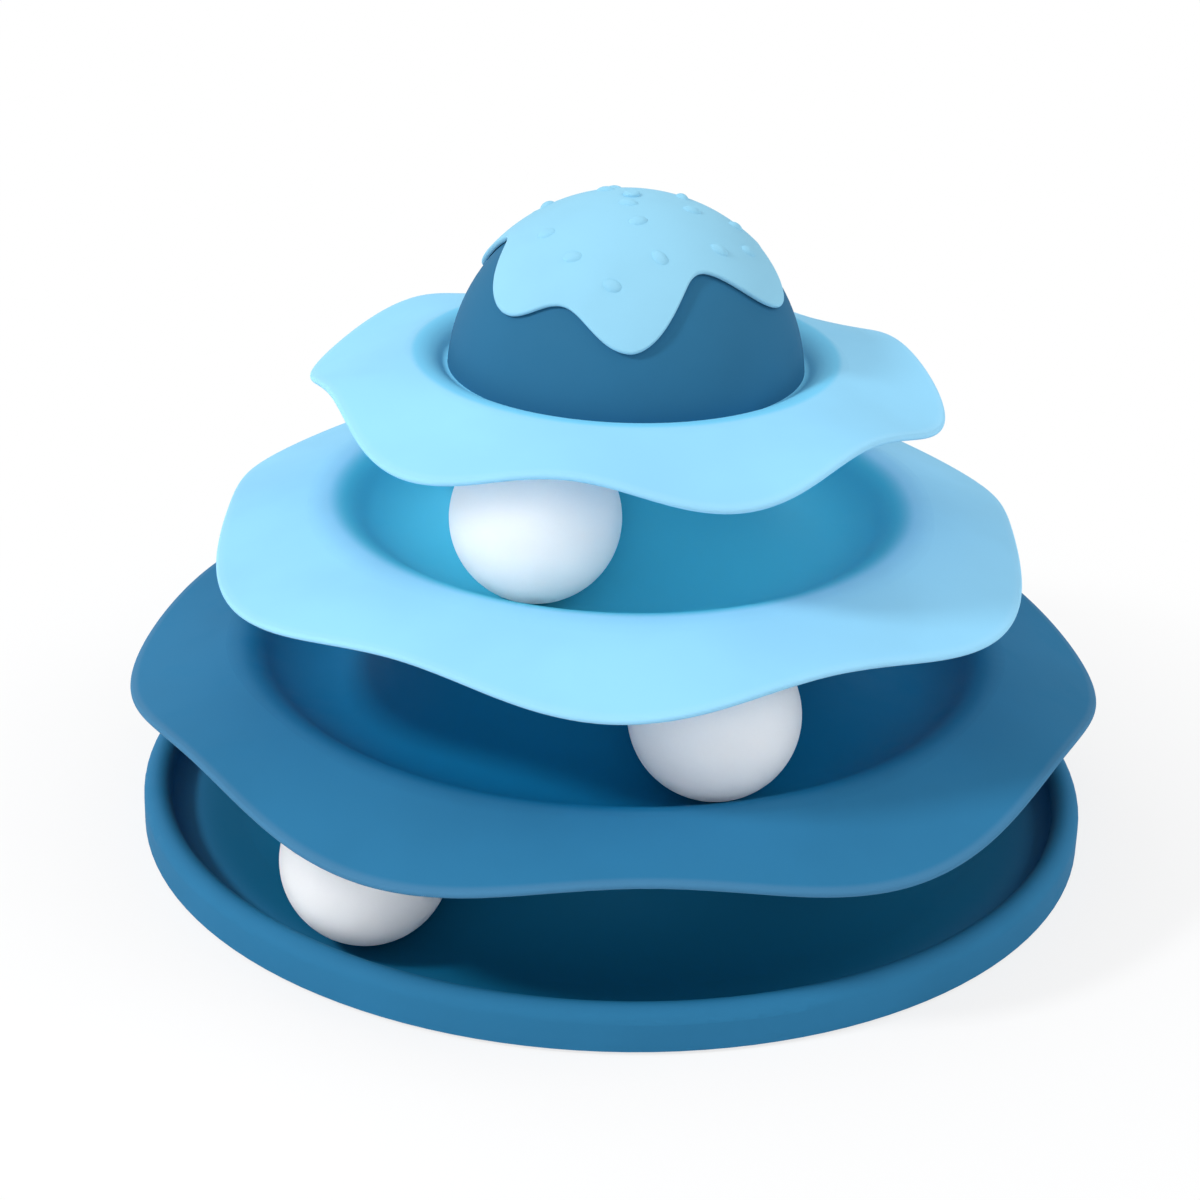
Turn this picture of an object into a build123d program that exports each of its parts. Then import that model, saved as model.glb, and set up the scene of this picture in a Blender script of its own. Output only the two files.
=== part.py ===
from build123d import *
import os
from dataclasses import dataclass
from math import acos, atan2, cos, degrees, hypot, pi, radians, sin, sqrt, tan

# A cat ball track toy: three wavy tiers stacked on a round tray, with a ball running in the groove under
# each tier, and a domed top under a poured icing cap.
# Millimetres, +Z up. The origin is on the ground under the middle of the tray, and the front faces -Y.
# Angles are in degrees, from the front towards +X.

# Walls and fits
WALL = 1.8                  # every moulded shell
FIT_GAP = 0.3               # all round a plug, key or pad in its seat
SEAT_STEP = 0.6             # shoulder under a tier, down from its underside to the column it stands on
COLLAR_DEPTH = 8.0          # how far a tier's collar goes down into the column
KEY_COUNT = 3               # keys that stop a tier from turning on its column
KEY_WIDTH = 8.0
KEY_DEPTH = 4.0

# Balls
BALL_DIAMETER = 40.0
BALL_WALL = 1.2
BALL_GAP = 0.25             # between a resting ball and the floor of its track
TRAY_BALL_ANGLE = -36.4
LOWER_BALL_ANGLE = 18.0
MIDDLE_BALL_ANGLE = -22.3

# Tracks
GROOVE_PLAY = 2.5           # between a ball and the round of its groove
HEADROOM = 3.0              # between a ball and the crest over it
ROOF_SHIFT = 0.8            # a ball's path lies this far outside the crest over it
COLUMN_DRAFT = 6.0          # degrees that a column leans in
CREST_HEIGHT = 7.0          # crest over the floor of its groove

# Brims: each has lobes that reach out and hang down together
LOBES = 6
SECTIONS_PER_LOBE = 6
LOWER_CREST_ROUND = 10.0
LOWER_BRIM = 25.1           # from the crest out to the middle of the edge
LOWER_DROP = 8.4            # from the crest down to the middle of the edge
LOWER_REACH = 2.0           # lobes out, and hollows in, from there
LOWER_HANG = 3.2            # lobes down, and hollows up, from there
LOWER_LOBE_ANGLE = -25.8
MIDDLE_CREST_ROUND = 15.0
MIDDLE_BRIM = 26.1
MIDDLE_DROP = 8.7
MIDDLE_REACH = 2.85
MIDDLE_HANG = 2.35
MIDDLE_LOBE_ANGLE = 0.0
TOP_CREST_ROUND = 8.6
TOP_BRIM = 24.0
TOP_DROP = 7.7
TOP_REACH = 2.15
TOP_HANG = 3.1
TOP_LOBE_ANGLE = 20.3

# Dome and its seat in the top tier
DOME_RADIUS = 43.5
DOME_SINK = 3.0             # the dome's foot is cut this far over the centre of its sphere
RECESS_DEPTH = 3.0          # seat of the dome below the crest round it
RECESS_FILLET = 1.5
LOCATING_RING_HEIGHT = 4.0

# Icing cap
ICING_GAP = 0.2
ICING_THICKNESS = 1.4
ICING_SECTIONS = 72
PEAK_RADIUS = 2.0           # round drop on the very top
PEAK_FILLET = 0.8
DROP_LENGTH = 5.4           # raised drops on the icing
DROP_WIDTH = 3.8
DROP_SINK = 1.0             # middle of a drop below the icing's surface

# Tray
RIM_WIDTH = 7.0
RIM_HEIGHT = 11.2           # top of the rim over the ground
RIM_FOOT_ROUND = 4.0        # from the floor up into the rim
RIM_PLAY = 2.5              # between a ball and the rim
PAD_COUNT = 6
PAD_DIAMETER = 12.0
PAD_HEIGHT = 1.6
PAD_STAND = 0.8             # a pad below the underside of the tray

# Edge of the icing: angle round the dome and height angle on its sphere, hollows and drips by turns
DRIP_EDGE = [
    (-87, 50.0), (-47, 31.8), (-26, 38.7), (1, 26.4), (34.5, 50.2), (71, 31.8), (101, 46.5), (128, 28.0),
    (158, 47.5), (190, 32.0), (214, 44.5), (243, 29.0),
]
# Raised drops: angle round the dome, angle from its top, and turn of the drop from the slope
DROPS = [
    (79, 19, 30), (7, 18, 105), (-58, 31, 135), (-30, 36, 110), (16, 34, 25), (-7, 44, 70),
    (54, 35, 35), (75, 40, 50), (-8, 7, 85), (96, 34, 30), (120, 18, 70), (-137, 12, 35),
    (150, 31, 15), (-165, 23, 55), (-112, 29, 80), (176, 41, 40), (-128, 41, 25),
]

# Sizes that follow from those above
BALL_RADIUS = BALL_DIAMETER / 2
GROOVE_ROUND = BALL_RADIUS + GROOVE_PLAY
PITCH = BALL_DIAMETER + HEADROOM + WALL - CREST_HEIGHT
TRAY_FLOOR = PAD_STAND + WALL
LOWER_FLOOR = TRAY_FLOOR + PITCH
MIDDLE_FLOOR = LOWER_FLOOR + PITCH
TOP_CREST_TOP = MIDDLE_FLOOR + PITCH + CREST_HEIGHT
TOP_FLOOR = TOP_CREST_TOP - RECESS_DEPTH
DOME_CENTRE = TOP_FLOOR - DOME_SINK


@dataclass
class HalfPlane:
    """The upright half-plane at one angle round the axis, where sections are drawn as (radius, height)."""

    angle: float

    def point(self, place):
        radius, height = place
        turn = radians(self.angle)
        return Vector(radius * sin(turn), -radius * cos(turn), height)

    def line(self, start, end):
        return Edge.make_line(self.point(start), self.point(end))

    def arc(self, centre, radius, start, end):
        """An arc between two directions, in degrees up from straight out."""
        places = [polar(centre, radius, start + (end - start) * share) for share in (0, 0.5, 1)]
        return Edge.make_three_point_arc(*[self.point(place) for place in places])


def polar(centre, radius, direction):
    """The place at a distance and a direction from a centre, both as (radius, height)."""
    turn = radians(direction)
    return (centre[0] + radius * cos(turn), centre[1] + radius * sin(turn))


def ring_box(angle, inner, outer, width, low, high):
    """A block across a ring at one angle, from one radius to another."""
    block = Box(width, outer - inner, high - low, align=(Align.CENTER, Align.MAX, Align.MIN))
    return Rot(0, 0, angle) * Pos(0, -inner, low) * block


def revolved(edges):
    """The full turn of a closed section drawn at angle 0."""
    return Solid.revolve(Face(Wire(edges)), 360, Axis.Z)


@dataclass
class Column:
    """The tapered tube that rises out of a groove and carries the next tier."""

    track: float
    floor: float
    top: float

    def wall_foot(self, depth):
        """Where the wall leaves the groove, at a depth into the wall from its outside."""
        centre = (self.track, self.floor + GROOVE_ROUND)
        return polar(centre, GROOVE_ROUND + depth, -180 + COLUMN_DRAFT)

    def wall_top(self, depth):
        foot = self.wall_foot(depth)
        return (foot[0] - (self.top - foot[1]) * tan(radians(COLUMN_DRAFT)), self.top)

    @property
    def outside(self):
        return self.wall_top(0)[0]

    @property
    def inside(self):
        return self.wall_top(WALL)[0]


@dataclass
class Brim:
    """A crest round a trough, and the wavy brim that hangs from it."""

    trough: float           # radius where the trough is deepest
    floor: float
    trough_round: float
    height: float
    crest_round: float
    width: float
    drop: float
    reach: float
    hang: float
    lobe_angle: float

    @property
    def lean(self):
        """Slope in degrees where the trough turns over into the crest."""
        return degrees(acos(1 - self.height / (self.trough_round + self.crest_round)))

    @property
    def trough_centre(self):
        return (self.trough, self.floor + self.trough_round)

    @property
    def crest_centre(self):
        span = self.trough_round + self.crest_round
        return (self.trough + span * sin(radians(self.lean)), self.floor + self.height - self.crest_round)

    @property
    def crest(self):
        return self.crest_centre[0]

    def edge_centre(self, angle):
        wave = cos(radians(LOBES * (angle - self.lobe_angle)))
        height = self.floor + self.height - self.drop - self.hang * wave
        return (self.crest + self.width + self.reach * wave, height)

    def droop(self, angle):
        """Downward slope of the brim in degrees, so that it runs off the crest without a bend."""
        across = self.edge_centre(angle)[0] - self.crest_centre[0]
        up = self.edge_centre(angle)[1] - self.crest_centre[1]
        middle_round = self.crest_round - WALL / 2
        return 90 - degrees(atan2(up, across) + acos(middle_round / hypot(across, up)))

    def outline(self, angle, trough_start):
        """Edges out along the upper side, round the edge and back along the underside."""
        plane = HalfPlane(angle)
        square = 90 - self.droop(angle)
        trough_end = self.lean - 90
        crest_start = self.lean + 90
        edge = self.edge_centre(angle)
        under_crest = self.crest_round - WALL
        return [
            plane.arc(self.trough_centre, self.trough_round, trough_start, trough_end),
            plane.arc(self.crest_centre, self.crest_round, crest_start, square),
            plane.line(polar(self.crest_centre, self.crest_round, square), polar(edge, WALL / 2, square)),
            plane.arc(edge, WALL / 2, square, square - 180),
            plane.line(polar(edge, WALL / 2, square - 180), polar(self.crest_centre, under_crest, square)),
            plane.arc(self.crest_centre, under_crest, square, crest_start),
            plane.arc(self.trough_centre, self.trough_round + WALL, trough_end, trough_start),
        ]

    def loft(self, section):
        """The full turn of a section that changes with the angle, closed at a lobe."""
        count = LOBES * SECTIONS_PER_LOBE
        start = self.lobe_angle + 360 / LOBES * (LOBES // 2)
        wires = [Wire(section(start + 360 * step / count)) for step in range(count)]
        return Solid.make_loft(wires + wires[:1])


def groove_brim(track, floor, crest_round, width, drop, reach, hang, lobe_angle):
    """A brim round a ball's groove."""
    return Brim(track, floor, GROOVE_ROUND, CREST_HEIGHT, crest_round, width, drop, reach, hang, lobe_angle)


def dish(brim, column):
    """A tier's shell: its column, groove, crest and wavy brim."""

    def section(angle):
        plane = HalfPlane(angle)
        outside = plane.line(column.wall_top(0), column.wall_foot(0))
        inside = plane.line(column.wall_foot(WALL), column.wall_top(WALL))
        top = plane.line(column.wall_top(WALL), column.wall_top(0))
        return [outside, *brim.outline(angle, COLUMN_DRAFT - 180), inside, top]

    return brim.loft(section)


def collar(carrier, root_top):
    """The shoulder that stands on a column and the collar that goes down into it."""
    outer = carrier.inside - FIT_GAP
    inner = outer - WALL
    plane = HalfPlane(0)
    corners = [
        (inner, carrier.top - COLLAR_DEPTH), (outer, carrier.top - COLLAR_DEPTH), (outer, carrier.top),
        (carrier.outside, carrier.top), (carrier.outside, root_top), (inner, root_top),
    ]
    ring = revolved([plane.line(*ends) for ends in zip(corners, corners[1:] + corners[:1])])
    low = carrier.top - KEY_DEPTH
    high = (carrier.top + root_top) / 2
    middle = (inner + outer) / 2
    for angle in key_angles():
        ring += ring_box(angle, middle, carrier.outside - FIT_GAP, KEY_WIDTH, low, high)
    return ring


def key_angles():
    return [180 + 360 * step / KEY_COUNT for step in range(KEY_COUNT)]


def notches(column):
    """The cuts in a column's top that the next tier's keys drop into."""
    low = column.top - KEY_DEPTH - FIT_GAP
    inner = column.inside - WALL
    outer = column.outside + WALL
    width = KEY_WIDTH + 2 * FIT_GAP
    return [ring_box(angle, inner, outer, width, low, column.top + WALL) for angle in key_angles()]


def collar_root(column, brim):
    """A height inside the dish's wall over the whole width of the collar's shoulder."""
    reach_out = brim.trough - column.outside
    reach_in = brim.trough - (column.inside - FIT_GAP - WALL)
    upper = brim.trough_round - sqrt(brim.trough_round**2 - reach_out**2)
    under = brim.trough_round - sqrt((brim.trough_round + WALL)**2 - reach_in**2)
    return brim.floor + (upper + under) / 2


def groove_tier(brim, column, carrier):
    """A tier with a groove, on the column that carries it."""
    tier = dish(brim, column) + collar(carrier, collar_root(carrier, brim))
    return tier - notches(column)


def tray(column, rim_centre):
    """The base: a column, a groove, a flat floor and a rolled rim, all one wall thick."""
    plane = HalfPlane(0)
    groove_centre = (column.track, column.floor + GROOVE_ROUND)
    rim_round = RIM_WIDTH / 2
    rim_inside = rim_centre[0] - rim_round
    rim_outside = rim_centre[0] + rim_round
    foot_centre = (rim_inside - RIM_FOOT_ROUND, column.floor + RIM_FOOT_ROUND)
    under = column.floor - WALL
    groove_start = COLUMN_DRAFT - 180
    edges = [
        plane.line(column.wall_top(0), column.wall_foot(0)),
        plane.arc(groove_centre, GROOVE_ROUND, groove_start, -90),
        plane.line((column.track, column.floor), (foot_centre[0], column.floor)),
        plane.arc(foot_centre, RIM_FOOT_ROUND, -90, 0),
        plane.line((rim_inside, foot_centre[1]), (rim_inside, rim_centre[1])),
        plane.arc(rim_centre, rim_round, 180, 0),
        plane.line((rim_outside, rim_centre[1]), (rim_outside, under)),
        plane.line((rim_outside, under), (rim_outside - WALL, under)),
        plane.line((rim_outside - WALL, under), (rim_outside - WALL, rim_centre[1])),
        plane.arc(rim_centre, rim_round - WALL, 0, 180),
        plane.line((rim_inside + WALL, rim_centre[1]), (rim_inside + WALL, foot_centre[1])),
        plane.arc(foot_centre, RIM_FOOT_ROUND + WALL, 0, -90),
        plane.line((foot_centre[0], under), (column.track, under)),
        plane.arc(groove_centre, GROOVE_ROUND + WALL, -90, groove_start),
        plane.line(column.wall_foot(WALL), column.wall_top(WALL)),
        plane.line(column.wall_top(WALL), column.wall_top(0)),
    ]
    pad_circle = (column.track + foot_centre[0]) / 2
    pad_places = PolarLocations(pad_circle, PAD_COUNT, start_angle=90)
    pocket = Cylinder(
        PAD_DIAMETER / 2 + FIT_GAP, PAD_HEIGHT, align=(Align.CENTER, Align.CENTER, Align.MIN)
    )
    pad = Cylinder(PAD_DIAMETER / 2, PAD_HEIGHT, align=(Align.CENTER, Align.CENTER, Align.MIN))
    shell = revolved(edges) - [place * pocket for place in pad_places] - notches(column)
    return shell, Compound([place * pad for place in pad_places])


def top_tier(brim, carrier):
    """The top tier: a flat seat for the dome inside the crest, and the collar under it."""
    hub = carrier.inside - FIT_GAP

    def section(angle):
        plane = HalfPlane(angle)
        floor = plane.line((hub, brim.floor), (brim.trough, brim.floor))
        under = plane.line((brim.trough, brim.floor - WALL), (hub, brim.floor - WALL))
        bore = plane.line((hub, brim.floor - WALL), (hub, brim.floor))
        return [floor, *brim.outline(angle, -90), under, bore]

    root_top = brim.floor - WALL / 2
    plate = Pos(0, 0, carrier.top) * Cylinder(
        carrier.outside, root_top - carrier.top, align=(Align.CENTER, Align.CENTER, Align.MIN)
    )
    ring_top = brim.floor + LOCATING_RING_HEIGHT
    dome_inside = DOME_RADIUS - WALL
    ring_outer = sqrt(dome_inside**2 - (DOME_SINK + LOCATING_RING_HEIGHT)**2) - FIT_GAP
    plane = HalfPlane(0)
    corners = [
        (ring_outer - WALL, root_top), (ring_outer, root_top), (ring_outer, ring_top),
        (ring_outer - WALL, ring_top),
    ]
    ring = revolved([plane.line(*ends) for ends in zip(corners, corners[1:] + corners[:1])])
    return brim.loft(section) + plate + collar(carrier, root_top) + ring


def dome():
    """The dome: a spherical shell, open at its foot."""
    shell = Sphere(DOME_RADIUS) - Sphere(DOME_RADIUS - WALL)
    below = Pos(0, 0, DOME_SINK) * Box(
        3 * DOME_RADIUS, 3 * DOME_RADIUS, 3 * DOME_RADIUS, align=(Align.CENTER, Align.CENTER, Align.MAX)
    )
    return Pos(0, 0, DOME_CENTRE) * (shell - below)


def drip_height(angle):
    """Height angle of the icing's edge, eased from each drip to the hollow after it."""
    first = DRIP_EDGE[0][0]
    place = first + (angle - first) % 360
    ends = DRIP_EDGE + [(first + 360, DRIP_EDGE[0][1])]
    for (start, low), (end, high) in zip(ends, ends[1:]):
        if place <= end:
            share = (place - start) / (end - start)
            return low + (high - low) * (1 - cos(pi * share)) / 2


def icing_cap():
    """The icing: a shell on the dome with a rounded dripping edge, and drops raised on it."""
    inner = DOME_RADIUS + ICING_GAP
    outer = inner + ICING_THICKNESS
    pole = 90 - degrees(PEAK_RADIUS / 2 / outer)

    def section(angle):
        plane = HalfPlane(angle)
        height = drip_height(angle)
        edge = polar((0, 0), (inner + outer) / 2, height)
        return Wire([
            plane.arc((0, 0), outer, pole, height),
            plane.arc(edge, ICING_THICKNESS / 2, height, height - 180),
            plane.arc((0, 0), inner, height, pole),
            plane.line(polar((0, 0), inner, pole), polar((0, 0), outer, pole)),
        ])

    wires = [section(360 * step / ICING_SECTIONS) for step in range(ICING_SECTIONS)]
    cap = Solid.make_loft(wires + wires[:1])
    half_outline = EllipticalCenterArc((0, 0), DROP_LENGTH / 2, DROP_WIDTH / 2, start_angle=0, arc_size=180)
    half_face = make_face([half_outline, Line(half_outline @ 1, half_outline @ 0)]).face()
    drop = Solid.revolve(half_face, 180, Axis.X)
    for angle, tilt, turn in DROPS:
        lean = Rot(0, 0, angle - 90) * Rot(0, tilt, 0)
        cap += lean * Pos(0, 0, outer - DROP_SINK) * Rot(0, 0, turn) * drop
    peak_height = ICING_THICKNESS / 2 + DROP_WIDTH / 2 - DROP_SINK
    peak = Cylinder(PEAK_RADIUS, peak_height, align=(Align.CENTER, Align.CENTER, Align.MIN))
    peak = fillet(peak.edges().group_by(Axis.Z)[-1], PEAK_FILLET)
    cap += Pos(0, 0, outer - ICING_THICKNESS / 2) * peak
    return Pos(0, 0, DOME_CENTRE) * cap


def ball(track, floor, angle):
    """A hollow ball resting in its track."""
    place = HalfPlane(angle).point((track, floor + BALL_GAP + BALL_RADIUS))
    return Pos(place) * (Sphere(BALL_RADIUS) - Sphere(BALL_RADIUS - BALL_WALL))


# The stack is laid out from the dome outwards: each crest is the roof of the track outside it
top_brim = Brim(
    DOME_RADIUS + FIT_GAP, TOP_FLOOR, RECESS_FILLET, RECESS_DEPTH, TOP_CREST_ROUND,
    TOP_BRIM, TOP_DROP, TOP_REACH, TOP_HANG, TOP_LOBE_ANGLE,
)
middle_track = top_brim.crest + ROOF_SHIFT
middle_brim = groove_brim(
    middle_track, MIDDLE_FLOOR, MIDDLE_CREST_ROUND,
    MIDDLE_BRIM, MIDDLE_DROP, MIDDLE_REACH, MIDDLE_HANG, MIDDLE_LOBE_ANGLE,
)
lower_track = middle_brim.crest + ROOF_SHIFT
lower_brim = groove_brim(
    lower_track, LOWER_FLOOR, LOWER_CREST_ROUND,
    LOWER_BRIM, LOWER_DROP, LOWER_REACH, LOWER_HANG, LOWER_LOBE_ANGLE,
)
tray_track = lower_brim.crest + ROOF_SHIFT
rim_centre_height = RIM_HEIGHT - RIM_WIDTH / 2
ball_over_rim = TRAY_FLOOR + BALL_GAP + BALL_RADIUS - rim_centre_height
rim_distance = sqrt((BALL_RADIUS + RIM_PLAY + RIM_WIDTH / 2)**2 - ball_over_rim**2)
rim_centre = (tray_track + rim_distance, rim_centre_height)

tray_column = Column(tray_track, TRAY_FLOOR, LOWER_FLOOR - WALL - SEAT_STEP)
lower_column = Column(lower_track, LOWER_FLOOR, MIDDLE_FLOOR - WALL - SEAT_STEP)
middle_column = Column(middle_track, MIDDLE_FLOOR, TOP_FLOOR - WALL - SEAT_STEP)

base_tray, foot_pads = tray(tray_column, rim_centre)
nodes = {
    "base_tray": base_tray,
    "foot_pads": foot_pads,
    "lower_tier": groove_tier(lower_brim, lower_column, tray_column),
    "middle_tier": groove_tier(middle_brim, middle_column, lower_column),
    "top_tier": top_tier(top_brim, middle_column),
    "dome": dome(),
    "icing_cap": icing_cap(),
    "lower_ball": ball(tray_track, TRAY_FLOOR, TRAY_BALL_ANGLE),
    "middle_ball": ball(lower_track, LOWER_FLOOR, LOWER_BALL_ANGLE),
    "upper_ball": ball(middle_track, MIDDLE_FLOOR, MIDDLE_BALL_ANGLE),
}

os.makedirs("parts", exist_ok=True)
for name, shape in nodes.items():
    export_step(shape, f"parts/{name}.step")
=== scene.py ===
from math import cos, hypot, radians, sin

import bmesh
import bpy
from bpy.props import FloatProperty, FloatVectorProperty, PointerProperty
from mathutils import Matrix, Vector


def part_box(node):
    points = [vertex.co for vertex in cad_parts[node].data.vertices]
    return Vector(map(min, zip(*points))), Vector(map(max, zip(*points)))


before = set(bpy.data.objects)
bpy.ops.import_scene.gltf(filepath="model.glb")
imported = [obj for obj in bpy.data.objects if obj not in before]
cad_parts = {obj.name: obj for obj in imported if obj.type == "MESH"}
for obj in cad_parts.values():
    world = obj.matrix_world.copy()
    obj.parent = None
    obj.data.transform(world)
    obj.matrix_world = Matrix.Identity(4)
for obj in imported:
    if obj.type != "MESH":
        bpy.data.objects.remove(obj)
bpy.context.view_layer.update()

bl_info = {
    "name": "Cat Ball Track Toy",
    "version": (1, 0, 0),
    "blender": (4, 5, 0),
    "location": "3D View > Sidebar > Track Toy",
    "description": "Finishes for a tiered cat ball track toy, and the studio it stands in",
    "category": "Object",
}

LOBES = 6
# Wavy brims: middle radius of the edge, how far a lobe reaches out from it, and the angle of a lobe
BRIM_EDGES = {
    "lower_tier": (0.11965, 0.00200, radians(-25.8)),
    "middle_tier": (0.09970, 0.00285, radians(0)),
    "top_tier": (0.07498, 0.00215, radians(20.3)),
}
# The ball that runs in each piece's groove
TRACK_BALLS = {"base_tray": "lower_ball", "lower_tier": "middle_ball", "middle_tier": "upper_ball"}

# Moulded grain: noise levels at which clouds and smudges start and are full
CLOUD_STEP = (0.3, 0.7)
SMUDGE_STEP = (0.48, 0.72)
SMUDGE_SHARE = 0.3              # width of a smudge against that of a cloud
SMUDGE_STRETCH = (1, 1, 1.6)

# Satin plastic
PLASTIC_CLOUDS = 0.045          # width of its clouds
PLASTIC_TONE = (0.97, 1.03)     # share of its colour between clouds and in them
PLASTIC_SMUDGE = 0.06           # roughness that smudges add
EDGE_HIGHLIGHT_PALENESS = 0.25            # how far the painted edge highlight goes towards white
EDGE_HIGHLIGHT_SHARE = 0.12               # how much of the painted edge highlight shows

# Groove: shade painted into its colour, and rubbing in its roughness
GROOVE_SHADE_FADE = (1.18, 1.03)      # distances, in groove rounds, at which the painted shade colour starts and is full
PATCH_SIZE = 0.012
PATCH_STEP = (0.25, 0.75)       # noise levels at which a patch starts and is full
PATCH_RUB = (0.45, 1.0)         # rub between the patches and in them
RUB_POLISH = 0.08               # roughness that full rub takes away

# Ball plastic
BALL_CLOUDS = 0.02
BALL_TONE = (0.985, 1.01)
BALL_SCUFF = 0.10               # roughness that scuffs add
BALL_SPREAD = 0.045             # how far light spreads in a ball
BALL_GRAIN = 0.5                # depth of its grain against that of the satin plastic

# Pad rubber
PAD_CLOUDS = 0.008
PAD_TONE = (0.8, 1.3)
PAD_ROUGHNESS = (0.78, 0.92)
PAD_GRAIN = 4

# Stage
WHITE = (1, 1, 1, 1)
SHADOW_FADE = (0.13, 0.26)      # from the axis, where the shadow on the floor starts to fade and where it ends
LIGHT_TARGET = (0, 0, 0.08)
LIGHT_DISTANCE = 1.3
# Lights: azimuth from the front towards the right and elevation, in degrees, and the side of the lamp
LIGHT_PLACES = {
    "key": (-65, 40, 0.18),
    "back": (-140, 28, 0.8),
    "front": (0, 14, 0.8),
    "fill": (88, 38, 0.8),
}
SENSOR_WIDTH = 36               # in millimetres, as Blender takes it


class FinishSettings(bpy.types.PropertyGroup):
    """Colours and surface sizes of the plastics and rubber."""

    dark_blue: FloatVectorProperty(
        name="Dark Blue", description="Plastic of the tray and the lower tier",
        subtype="COLOR", size=3, min=0, max=1, default=(0.0260, 0.172, 0.334),
    )
    dome_blue: FloatVectorProperty(
        name="Dome Blue", description="Plastic of the dome",
        subtype="COLOR", size=3, min=0, max=1, default=(0.0250, 0.140, 0.264),
    )
    light_blue: FloatVectorProperty(
        name="Light Blue", description="Plastic of the two upper tiers",
        subtype="COLOR", size=3, min=0, max=1, default=(0.285, 0.640, 0.890),
    )
    icing_blue: FloatVectorProperty(
        name="Icing Blue", description="Plastic of the icing cap",
        subtype="COLOR", size=3, min=0, max=1, default=(0.275, 0.580, 0.765),
    )
    # Painted shade: the tray's groove under the lower tier is given this darker colour
    tray_groove_shade: FloatVectorProperty(
        name="Tray Groove Shade", description="Painted shade: darker colour of the tray in its groove under the lower tier",
        subtype="COLOR", size=3, min=0, max=1, default=(0.0050, 0.125, 0.245),
    )
    # Painted shade: the lower tier's groove under the middle tier is given this darker colour
    dark_groove_shade: FloatVectorProperty(
        name="Dark Groove Shade", description="Painted shade: darker colour of the lower tier in its groove under the middle tier",
        subtype="COLOR", size=3, min=0, max=1, default=(0.0040, 0.150, 0.314),
    )
    # Painted shade: the middle tier's groove under the top tier is given this darker colour
    light_groove_shade: FloatVectorProperty(
        name="Light Groove Shade", description="Painted shade: darker colour of the middle tier in its groove under the top tier",
        subtype="COLOR", size=3, min=0, max=1, default=(0.070, 0.495, 0.690),
    )
    # Painted shade: the top tier's dish round the foot of the dome is given this deeper colour
    dish_shade: FloatVectorProperty(
        name="Dish Shade", description="Painted shade: deeper colour of the top tier in the dish round the foot of the dome",
        subtype="COLOR", size=3, min=0, max=1, default=(0.180, 0.600, 0.880),
    )
    ball_white: FloatVectorProperty(
        name="Ball White", description="Plastic of the three balls",
        subtype="COLOR", size=3, min=0, max=1, default=(0.970, 0.975, 0.985),
    )
    pad_grey: FloatVectorProperty(
        name="Pad Grey", description="Rubber of the pads under the tray",
        subtype="COLOR", size=3, min=0, max=1, default=(0.035, 0.038, 0.042),
    )
    grain_size: FloatProperty(
        name="Grain Size", description="Width of the fine texture moulded into the plastic",
        subtype="DISTANCE", unit="LENGTH", min=0.0001, default=0.0007, precision=5,
    )
    grain_depth: FloatProperty(
        name="Grain Depth", description="Height of that texture",
        subtype="DISTANCE", unit="LENGTH", min=0, default=0.000012, precision=6,
    )
    plastic_roughness: FloatProperty(
        name="Plastic Roughness", description="Roughness of the satin plastic where nothing has rubbed it",
        subtype="FACTOR", min=0, max=1, default=0.68,
    )
    plastic_gloss: FloatProperty(
        name="Plastic Gloss", description="How strongly the satin plastic mirrors",
        subtype="FACTOR", min=0, max=1, default=0.06,
    )
    groove_round: FloatProperty(
        name="Groove Round", description="Radius of the groove that a ball rubs smooth",
        subtype="DISTANCE", unit="LENGTH", min=0.001, default=0.0225, precision=4,
    )
    # Sets how far the painted shade spreads out from the foot of the dome
    dish_round: FloatProperty(
        name="Dish Round", description="Radius of the dish round the foot of the dome",
        subtype="DISTANCE", unit="LENGTH", min=0.001, default=0.010, precision=4,
    )
    # Painted highlight: width of the paler band along the edge of a brim
    edge_width: FloatProperty(
        name="Edge Highlight Width", description="Band along the edge of a brim painted paler as a highlight",
        subtype="DISTANCE", unit="LENGTH", min=0.0001, default=0.0016, precision=4,
    )
    ball_glow: FloatProperty(
        name="Ball Glow", description="How much light passes through the thin wall of a ball",
        subtype="FACTOR", min=0, max=1, default=1.0,
    )
    ball_roughness: FloatProperty(
        name="Ball Roughness", description="Roughness of the balls between their scuffs",
        subtype="FACTOR", min=0, max=1, default=0.42,
    )


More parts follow.
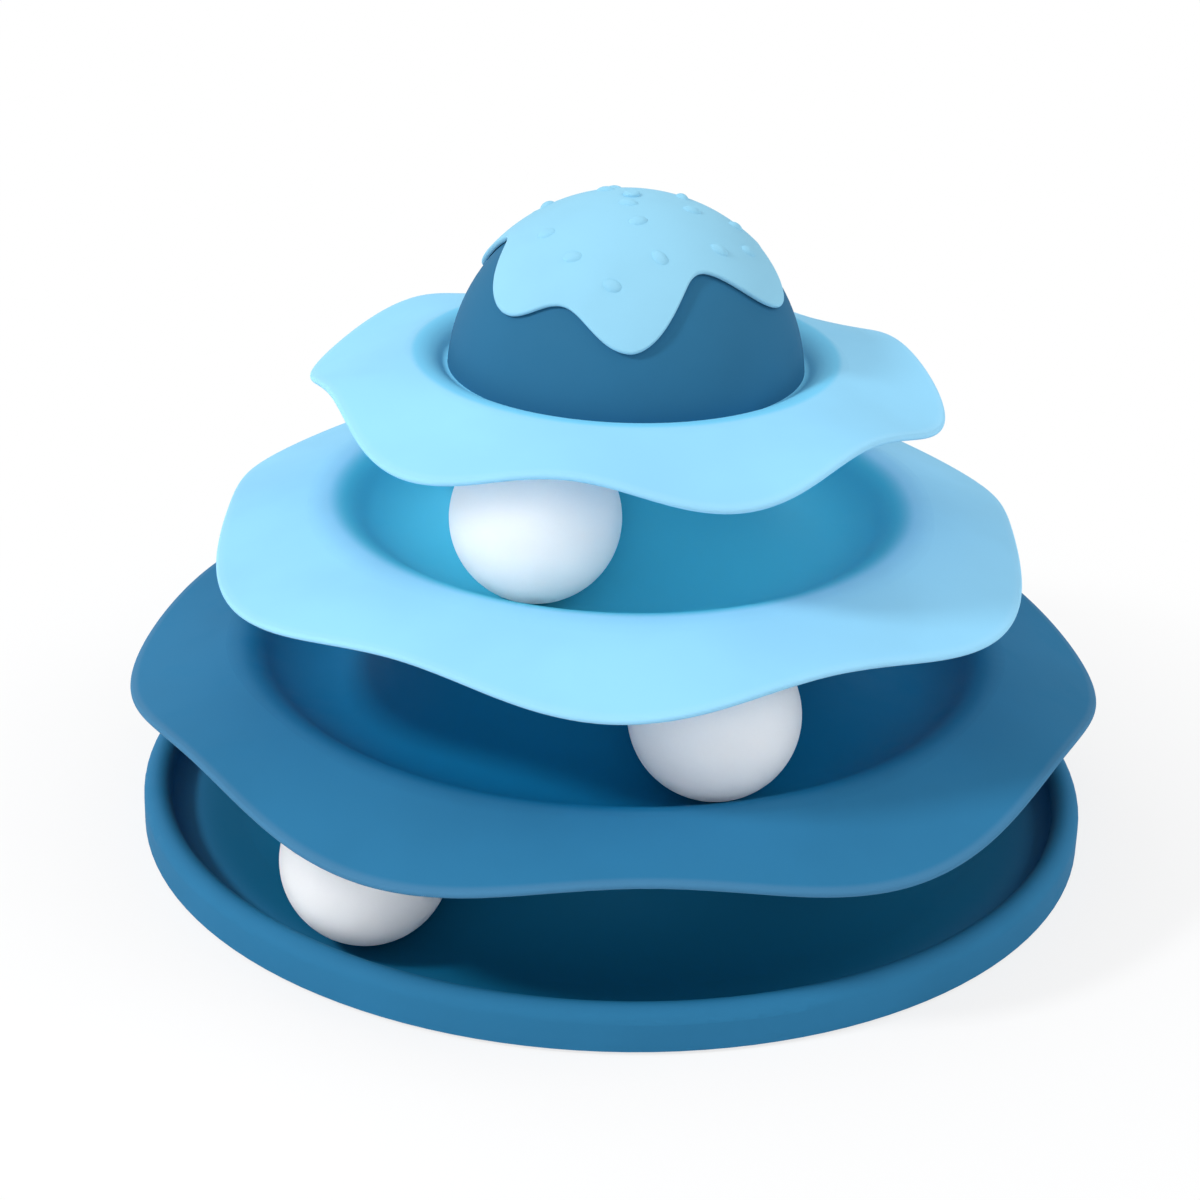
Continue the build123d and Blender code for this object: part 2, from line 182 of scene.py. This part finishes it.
class StageSettings(bpy.types.PropertyGroup):
    """Floor, lights and camera."""

    floor_size: FloatProperty(
        name="Floor Size", description="Side of the floor",
        subtype="DISTANCE", unit="LENGTH", min=1, default=12,
    )
    floor_colour: FloatVectorProperty(
        name="Floor Colour", description="Colour of the floor",
        subtype="COLOR", size=3, min=0, max=1, default=(0.86, 0.87, 0.88),
    )
    shadow_share: FloatProperty(
        name="Shadow", description="How much of the shadow the floor shows to the camera",
        subtype="FACTOR", min=0, max=1, default=0.25,
    )
    room_light: FloatProperty(
        name="Room Light", description="Strength of the light from all round", min=0, default=0.60,
    )
    key_power: FloatProperty(
        name="Key Power", description="Small lamp on the left that draws the shadows",
        subtype="POWER", unit="POWER", min=0, default=9.0,
    )
    back_power: FloatProperty(
        name="Back Power", description="Soft box behind on the left that gives the slopes a sheen",
        subtype="POWER", unit="POWER", min=0, default=2.0,
    )
    front_power: FloatProperty(
        name="Front Power", description="Soft box low in front that lights the balls under the brims",
        subtype="POWER", unit="POWER", min=0, default=1.9,
    )
    fill_power: FloatProperty(
        name="Fill Power", description="Soft box on the right that opens the shadows",
        subtype="POWER", unit="POWER", min=0, default=5.2,
    )
    lens: FloatProperty(
        name="Lens", description="Focal length of the camera",
        subtype="DISTANCE_CAMERA", min=10, default=84,
    )
    eye: FloatVectorProperty(
        name="Eye", description="Where the camera stands",
        subtype="TRANSLATION", unit="LENGTH", size=3, default=(0.0, -0.6448, 0.3470),
    )
    pan: FloatProperty(
        name="Pan", description="Turn of the camera to the right",
        subtype="ANGLE", unit="ROTATION", default=radians(-0.400),
    )
    pitch: FloatProperty(
        name="Pitch", description="Downward look of the camera",
        subtype="ANGLE", unit="ROTATION", default=radians(24.252),
    )
    roll: FloatProperty(
        name="Roll", description="Tilt of the camera to the left",
        subtype="ANGLE", unit="ROTATION", default=radians(1.810),
    )


class NodeSheet:
    """Puts nodes into one tree and wires them up."""

    def __init__(self, tree):
        self.tree = tree

    def add(self, kind, inputs=None, **settings):
        """A new node, with its settings and with values or links at its inputs."""
        node = self.tree.nodes.new(kind)
        for name, value in settings.items():
            setattr(node, name, value)
        for socket, value in (inputs or {}).items():
            if isinstance(value, bpy.types.NodeSocket):
                self.tree.links.new(value, node.inputs[socket])
            else:
                node.inputs[socket].default_value = value
        return node

    def math(self, operation, first, second=0.0):
        return self.add("ShaderNodeMath", {0: first, 1: second}, operation=operation).outputs[0]

    def length(self, across, up):
        """How far a point lies from the origin of two axes."""
        squares = [self.math("MULTIPLY", value, value) for value in (across, up)]
        return self.math("SQRT", self.math("ADD", *squares))

    def noise(self, place, size, detail, stretch=None):
        """Noise whose lumps are about one size across."""
        if stretch:
            place = self.add("ShaderNodeMapping", {"Vector": place, "Scale": stretch}).outputs[0]
        scale = self.math("DIVIDE", 1.0, size)
        noise = self.add("ShaderNodeTexNoise", {"Vector": place, "Scale": scale, "Detail": detail})
        return noise.outputs["Fac"]

    def ramp(self, value, start, end, low=0.0, high=1.0):
        """A smooth step from low to high while a value goes from start to end."""
        step = self.add(
            "ShaderNodeMapRange",
            {"Value": value, "From Min": start, "From Max": end, "To Min": low, "To Max": high},
            interpolation_type="SMOOTHSTEP",
        )
        return step.outputs["Result"]

    def spread(self, mask, low, high):
        """A mask from 0 to 1, turned into values from low to high."""
        return self.ramp(mask, 0.0, 1.0, low, high)

    def shade(self, colour, value):
        """A colour made lighter or darker by a value."""
        shade = self.add("ShaderNodeVectorMath", {0: colour, "Scale": value}, operation="SCALE")
        return shade.outputs["Vector"]

    def mix(self, share, first, second):
        """A blend of two colours."""
        return self.add("ShaderNodeMix", {0: share, 6: first, 7: second}, data_type="RGBA").outputs[2]

    def grain(self, place, finish, cloud_size):
        """The grain, clouds and smudges of a moulded surface."""
        return self.add(
            "ShaderNodeGroup",
            {"Place": place, "Grain Size": finish.grain_size, "Cloud Size": cloud_size},
            node_tree=shared_group("Moulded Grain", moulded_grain_group),
        ).outputs

    def seen(self):
        """One for rays that come from the camera, by a mirror or through glass too."""
        rays = self.add("ShaderNodeLightPath").outputs
        seen = self.math("MAXIMUM", rays["Is Camera Ray"], rays["Is Glossy Ray"])
        return self.math("MAXIMUM", seen, rays["Is Transmission Ray"])

    def wire(self, shader, base, rough, height, depth):
        """Leads colour, roughness and fine texture into a shader."""
        bump = self.add("ShaderNodeBump", {"Height": height, "Distance": depth})
        self.tree.links.new(base, shader.inputs["Base Color"])
        self.tree.links.new(rough, shader.inputs["Roughness"])
        self.tree.links.new(bump.outputs[0], shader.inputs["Normal"])


def new_group(name, inputs, outputs):
    """An empty node group, with the inner ends of its sockets."""
    tree = bpy.data.node_groups.new(name, "ShaderNodeTree")
    for label, kind, default in inputs:
        socket = tree.interface.new_socket(label, in_out="INPUT", socket_type=kind)
        if default is not None:
            socket.default_value = default
    for label in outputs:
        tree.interface.new_socket(label, in_out="OUTPUT", socket_type="NodeSocketFloat")
    sheet = NodeSheet(tree)
    taken = tree.nodes.new("NodeGroupInput").outputs
    given = tree.nodes.new("NodeGroupOutput").inputs
    return sheet, taken, given


def moulded_grain_group():
    """Fine moulded texture, slow clouds of tone from uneven cooling, and smudges."""
    sheet, taken, given = new_group(
        "Moulded Grain",
        [
            ("Place", "NodeSocketVector", None),
            ("Grain Size", "NodeSocketFloat", 0.0007),
            ("Cloud Size", "NodeSocketFloat", 0.05),
        ],
        ["Height", "Cloud", "Smudge"],
    )
    links = sheet.tree.links
    fine = sheet.noise(taken["Place"], taken["Grain Size"], detail=1.0)
    links.new(fine, given["Height"])
    cloud = sheet.noise(taken["Place"], taken["Cloud Size"], detail=3.0)
    links.new(sheet.ramp(cloud, *CLOUD_STEP), given["Cloud"])
    smudge_size = sheet.math("MULTIPLY", taken["Cloud Size"], SMUDGE_SHARE)
    smudge = sheet.noise(taken["Place"], smudge_size, detail=4.0, stretch=SMUDGE_STRETCH)
    links.new(sheet.ramp(smudge, *SMUDGE_STEP), given["Smudge"])
    return sheet.tree


def shaded_rubbed_groove_group():
    """Mask of the groove round the axis that a ball runs in, where shade is painted, and of the patches that
    it has rubbed most.
    """
    sheet, taken, given = new_group(
        "Rubbed Groove",
        [
            ("Place", "NodeSocketVector", None),
            ("Radius", "NodeSocketFloat", 0.1),
            ("Height", "NodeSocketFloat", 0.0),
            ("Groove Round", "NodeSocketFloat", 0.02),
        ],
        ["Mask", "Rub"],
    )
    split = sheet.add("ShaderNodeSeparateXYZ", {0: taken["Place"]}).outputs
    across = sheet.math("SUBTRACT", sheet.length(split[0], split[1]), taken["Radius"])
    up = sheet.math("SUBTRACT", split[2], taken["Height"])
    outside = sheet.math("DIVIDE", sheet.length(across, up), taken["Groove Round"])
    # This mask carries the painted shade of the groove into the colour
    mask = sheet.ramp(outside, *GROOVE_SHADE_FADE)
    patches = sheet.ramp(sheet.noise(taken["Place"], PATCH_SIZE, detail=3.0), *PATCH_STEP, *PATCH_RUB)
    sheet.tree.links.new(mask, given["Mask"])
    sheet.tree.links.new(sheet.math("MULTIPLY", mask, patches), given["Rub"])
    return sheet.tree


def wavy_edge_group():
    """Mask of the band along the wavy edge of a brim, where a highlight is painted."""
    sheet, taken, given = new_group(
        "Wavy Edge",
        [
            ("Place", "NodeSocketVector", None),
            ("Radius", "NodeSocketFloat", 0.1),
            ("Reach", "NodeSocketFloat", 0.002),
            ("Lobe Angle", "NodeSocketFloat", 0.0),
            ("Band", "NodeSocketFloat", 0.0015),
        ],
        ["Mask"],
    )
    split = sheet.add("ShaderNodeSeparateXYZ", {0: taken["Place"]}).outputs
    radius = sheet.length(split[0], split[1])
    turn = sheet.math("ARCTAN2", split[0], sheet.math("MULTIPLY", split[1], -1.0))
    from_lobe = sheet.math("SUBTRACT", turn, taken["Lobe Angle"])
    wave = sheet.math("COSINE", sheet.math("MULTIPLY", from_lobe, LOBES))
    edge = sheet.math("ADD", taken["Radius"], sheet.math("MULTIPLY", wave, taken["Reach"]))
    inside = sheet.math("SUBTRACT", edge, radius)
    sheet.tree.links.new(sheet.ramp(inside, taken["Band"], 0.0), given["Mask"])
    return sheet.tree


def shared_group(name, make):
    """A node group, built the first time it is asked for."""
    return bpy.data.node_groups.get(name) or make()


def new_material(name):
    """A material with a Principled shader, and the place on the piece that its patterns follow."""
    material = bpy.data.materials.new(name)
    material.use_nodes = True
    sheet = NodeSheet(material.node_tree)
    shader = material.node_tree.nodes["Principled BSDF"]
    place = sheet.add("ShaderNodeTexCoord").outputs["Object"]
    return material, sheet, shader, place


def satin_plastic(name, colour, finish, track=None, shade_colour=None, brim=None):
    """Satin moulded plastic.

    Along its track it has painted shade in its colour and is rubbed smooth, and along the edge of its brim it
    has a painted highlight.
    """
    material, sheet, shader, place = new_material(name)
    grain = sheet.grain(place, finish, PLASTIC_CLOUDS)
    base = sheet.shade(tuple(colour), sheet.spread(grain["Cloud"], *PLASTIC_TONE))
    clean = finish.plastic_roughness
    rough = sheet.spread(grain["Smudge"], clean, clean + PLASTIC_SMUDGE)
    if track:
        radius, floor, groove_round = track
        groove = sheet.add(
            "ShaderNodeGroup",
            {"Place": place, "Radius": radius, "Height": floor + groove_round, "Groove Round": groove_round},
            node_tree=shared_group("Rubbed Groove", shaded_rubbed_groove_group),
        ).outputs
        # Painted shade: the groove under the brim above, or the dish round the dome's foot, takes a darker
        # colour
        base = sheet.mix(groove["Mask"], base, (*shade_colour, 1))
        rough = sheet.math("SUBTRACT", rough, sheet.math("MULTIPLY", groove["Rub"], RUB_POLISH))
    if brim:
        radius, reach, lobe_angle = brim
        edge = sheet.add(
            "ShaderNodeGroup",
            {
                "Place": place, "Radius": radius, "Reach": reach, "Lobe Angle": lobe_angle,
                "Band": finish.edge_width,
            },
            node_tree=shared_group("Wavy Edge", wavy_edge_group),
        ).outputs
        # Painted highlight: a paler band along the edge of the brim
        pale = [channel + (1 - channel) * EDGE_HIGHLIGHT_PALENESS for channel in colour]
        base = sheet.mix(sheet.math("MULTIPLY", edge["Mask"], EDGE_HIGHLIGHT_SHARE), base, (*pale, 1))
    shader.inputs["Specular IOR Level"].default_value = finish.plastic_gloss
    sheet.wire(shader, base, rough, grain["Height"], finish.grain_depth)
    return material


def ball_plastic(finish):
    """White ball plastic with faint clouds and scuffs from rolling."""
    material, sheet, shader, place = new_material("Ball White Plastic")
    grain = sheet.grain(place, finish, BALL_CLOUDS)
    base = sheet.shade(tuple(finish.ball_white), sheet.spread(grain["Cloud"], *BALL_TONE))
    rough = sheet.math("ADD", sheet.math("MULTIPLY", grain["Smudge"], BALL_SCUFF), finish.ball_roughness)
    shader.subsurface_method = "BURLEY"
    shader.inputs["Subsurface Weight"].default_value = finish.ball_glow
    shader.inputs["Subsurface Radius"].default_value = (1, 1, 1)
    shader.inputs["Subsurface Scale"].default_value = BALL_SPREAD
    sheet.wire(shader, base, rough, grain["Height"], finish.grain_depth * BALL_GRAIN)
    return material


def pad_rubber(finish):
    """Dark rubber, rough and a little dusty."""
    material, sheet, shader, place = new_material("Pad Rubber")
    grain = sheet.grain(place, finish, PAD_CLOUDS)
    base = sheet.shade(tuple(finish.pad_grey), sheet.spread(grain["Cloud"], *PAD_TONE))
    rough = sheet.spread(grain["Smudge"], *PAD_ROUGHNESS)
    sheet.wire(shader, base, rough, grain["Height"], finish.grain_depth * PAD_GRAIN)
    return material


def dress(node, material):
    """Gives a CAD node its finish."""
    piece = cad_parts[node]
    if not piece.material_slots:
        raise RuntimeError(f"{node} has no material slot")
    for slot in piece.material_slots:
        slot.material = material


def track_of(node, finish):
    """Radius, floor and round of the track under the ball that runs in a piece."""
    low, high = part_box(TRACK_BALLS[node])
    return hypot(low.x + high.x, low.y + high.y) / 2, low.z, finish.groove_round


def dish_of(node, finish):
    """Radius, floor and round of the dish that a piece stands in."""
    low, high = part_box(node)
    return (high.x - low.x) / 2, low.z, finish.dish_round


class TRACKTOY_OT_dress_tray(bpy.types.Operator):
    """Give the tray dark blue plastic, rubbed smooth along its track, with painted shade in its groove"""

    bl_idname = "track_toy.dress_tray"
    bl_label = "Dress Tray"

    def execute(self, context):
        finish = context.scene.track_toy_finish
        track = track_of("base_tray", finish)
        # The tray's groove colour is painted shade under the lower tier
        dress("base_tray", satin_plastic("Tray Plastic", finish.dark_blue, finish, track, finish.tray_groove_shade))
        return {"FINISHED"}


class TRACKTOY_OT_dress_pads(bpy.types.Operator):
    """Give the pads under the tray dark rubber"""

    bl_idname = "track_toy.dress_pads"
    bl_label = "Dress Pads"

    def execute(self, context):
        dress("foot_pads", pad_rubber(context.scene.track_toy_finish))
        return {"FINISHED"}


class TRACKTOY_OT_dress_tiers(bpy.types.Operator):
    """Give the three wavy tiers their plastics, dark below and light above"""

    bl_idname = "track_toy.dress_tiers"
    bl_label = "Dress Tiers"

    def execute(self, context):
        finish = context.scene.track_toy_finish
        tiers = {
            # The groove and dish colours are painted shade under the brims and round the dome's foot
            "lower_tier": (finish.dark_blue, track_of("lower_tier", finish), finish.dark_groove_shade),
            "middle_tier": (finish.light_blue, track_of("middle_tier", finish), finish.light_groove_shade),
            "top_tier": (finish.light_blue, dish_of("dome", finish), finish.dish_shade),
        }
        for node, (colour, track, shade_colour) in tiers.items():
            name = node.replace("_", " ").title() + " Plastic"
            dress(node, satin_plastic(name, colour, finish, track, shade_colour, BRIM_EDGES[node]))
        return {"FINISHED"}


class TRACKTOY_OT_dress_dome(bpy.types.Operator):
    """Give the dome dark blue plastic"""

    bl_idname = "track_toy.dress_dome"
    bl_label = "Dress Dome"

    def execute(self, context):
        finish = context.scene.track_toy_finish
        dress("dome", satin_plastic("Dome Plastic", finish.dome_blue, finish))
        return {"FINISHED"}


class TRACKTOY_OT_dress_icing(bpy.types.Operator):
    """Give the icing cap light blue plastic"""

    bl_idname = "track_toy.dress_icing"
    bl_label = "Dress Icing"

    def execute(self, context):
        finish = context.scene.track_toy_finish
        dress("icing_cap", satin_plastic("Icing Plastic", finish.icing_blue, finish))
        return {"FINISHED"}


class TRACKTOY_OT_dress_balls(bpy.types.Operator):
    """Give the three balls white plastic"""

    bl_idname = "track_toy.dress_balls"
    bl_label = "Dress Balls"

    def execute(self, context):
        material = ball_plastic(context.scene.track_toy_finish)
        for node in TRACK_BALLS.values():
            dress(node, material)
        return {"FINISHED"}


def floor_material(stage):
    """Pale floor that keeps the shadow and turns to white for the camera."""
    material = bpy.data.materials.new("Studio Floor")
    material.use_nodes = True
    sheet = NodeSheet(material.node_tree)
    nodes = material.node_tree.nodes
    nodes.remove(nodes["Principled BSDF"])
    matt = sheet.add("ShaderNodeBsdfDiffuse", {"Color": (*stage.floor_colour, 1)})
    white = sheet.add("ShaderNodeEmission", {"Color": WHITE, "Strength": 1.0})
    place = sheet.add("ShaderNodeTexCoord").outputs["Object"]
    split = sheet.add("ShaderNodeSeparateXYZ", {0: place}).outputs
    shadow = sheet.ramp(sheet.length(split[0], split[1]), *SHADOW_FADE, stage.shadow_share, 0.0)
    share = sheet.math("MULTIPLY", sheet.seen(), sheet.math("SUBTRACT", 1.0, shadow))
    blend = sheet.add("ShaderNodeMixShader", {0: share, 1: matt.outputs[0], 2: white.outputs[0]})
    sheet.tree.links.new(blend.outputs[0], nodes["Material Output"].inputs["Surface"])
    return material


def studio_world(stage):
    """Even light from all round, behind which the camera sees white."""
    world = bpy.data.worlds.new("Studio World")
    world.use_nodes = True
    sheet = NodeSheet(world.node_tree)
    nodes = world.node_tree.nodes
    room = nodes["Background"]
    room.inputs["Color"].default_value = WHITE
    room.inputs["Strength"].default_value = stage.room_light
    white = sheet.add("ShaderNodeBackground", {"Color": WHITE, "Strength": 1.0})
    blend = sheet.add("ShaderNodeMixShader", {0: sheet.seen(), 1: room.outputs[0], 2: white.outputs[0]})
    sheet.tree.links.new(blend.outputs[0], nodes["World Output"].inputs["Surface"])
    return world


def soft_box(name, azimuth, elevation, size, power):
    """A square area light that looks at the toy."""
    across, up = radians(azimuth), radians(elevation)
    back = Vector((sin(across) * cos(up), -cos(across) * cos(up), sin(up)))
    light = bpy.data.lights.new(name, "AREA")
    light.shape = "SQUARE"
    light.size = size
    light.energy = power
    lamp = bpy.data.objects.new(name, light)
    lamp.location = Vector(LIGHT_TARGET) + back * LIGHT_DISTANCE
    lamp.rotation_euler = (-back).to_track_quat("-Z", "Y").to_euler()
    return lamp


class TRACKTOY_OT_set_stage(bpy.types.Operator):
    """Set up the floor, the lights and the camera"""

    bl_idname = "track_toy.set_stage"
    bl_label = "Set Stage"

    def execute(self, context):
        scene = context.scene
        stage = scene.track_toy_stage
        scene.view_settings.view_transform = "Standard"
        self.add_floor(scene, stage)
        self.add_lights(scene, stage)
        self.add_camera(scene, stage)
        return {"FINISHED"}

    def add_floor(self, scene, stage):
        mesh = bpy.data.meshes.new("studio_floor")
        shape = bmesh.new()
        bmesh.ops.create_grid(shape, x_segments=1, y_segments=1, size=stage.floor_size / 2)
        shape.to_mesh(mesh)
        shape.free()
        mesh.materials.append(floor_material(stage))
        floor = bpy.data.objects.new("studio_floor", mesh)
        scene.collection.objects.link(floor)

    def add_lights(self, scene, stage):
        scene.world = studio_world(stage)
        for light, (azimuth, elevation, size) in LIGHT_PLACES.items():
            power = getattr(stage, f"{light}_power")
            scene.collection.objects.link(soft_box(f"{light}_light", azimuth, elevation, size, power))

    def add_camera(self, scene, stage):
        data = bpy.data.cameras.new("photo_camera")
        data.lens = stage.lens
        data.sensor_width = SENSOR_WIDTH
        data.sensor_fit = "HORIZONTAL"
        camera = bpy.data.objects.new("photo_camera", data)
        forward = Vector((
            sin(stage.pan) * cos(stage.pitch), cos(stage.pan) * cos(stage.pitch), -sin(stage.pitch)
        ))
        right = Vector((cos(stage.pan), -sin(stage.pan), 0))
        up = right.cross(forward)
        side = cos(stage.roll) * right + sin(stage.roll) * up
        head = cos(stage.roll) * up - sin(stage.roll) * right
        turn = Matrix((side, head, -forward)).transposed()
        camera.matrix_world = Matrix.Translation(stage.eye) @ turn.to_4x4()
        scene.collection.objects.link(camera)
        scene.camera = camera


class TRACKTOY_PT_panel(bpy.types.Panel):
    """Finishes and stage of the track toy"""

    bl_idname = "TRACKTOY_PT_panel"
    bl_label = "Track Toy"
    bl_space_type = "VIEW_3D"
    bl_region_type = "UI"
    bl_category = "Track Toy"

    def draw(self, context):
        for settings in (context.scene.track_toy_finish, context.scene.track_toy_stage):
            box = self.layout.box()
            for name in settings.__annotations__:
                box.prop(settings, name)
        for operator in OPERATORS:
            self.layout.operator(operator.bl_idname)


OPERATORS = [
    TRACKTOY_OT_dress_tray,
    TRACKTOY_OT_dress_pads,
    TRACKTOY_OT_dress_tiers,
    TRACKTOY_OT_dress_dome,
    TRACKTOY_OT_dress_icing,
    TRACKTOY_OT_dress_balls,
    TRACKTOY_OT_set_stage,
]
CLASSES = [FinishSettings, StageSettings, *OPERATORS, TRACKTOY_PT_panel]


def register():
    for cls in CLASSES:
        bpy.utils.register_class(cls)
    bpy.types.Scene.track_toy_finish = PointerProperty(type=FinishSettings)
    bpy.types.Scene.track_toy_stage = PointerProperty(type=StageSettings)


def unregister():
    del bpy.types.Scene.track_toy_stage
    del bpy.types.Scene.track_toy_finish
    for cls in reversed(CLASSES):
        bpy.utils.unregister_class(cls)


def main():
    register()
    bpy.ops.track_toy.dress_tray()
    bpy.ops.track_toy.dress_pads()
    bpy.ops.track_toy.dress_tiers()
    bpy.ops.track_toy.dress_dome()
    bpy.ops.track_toy.dress_icing()
    bpy.ops.track_toy.dress_balls()
    bpy.ops.track_toy.set_stage()


if __name__ == "__main__":
    main()
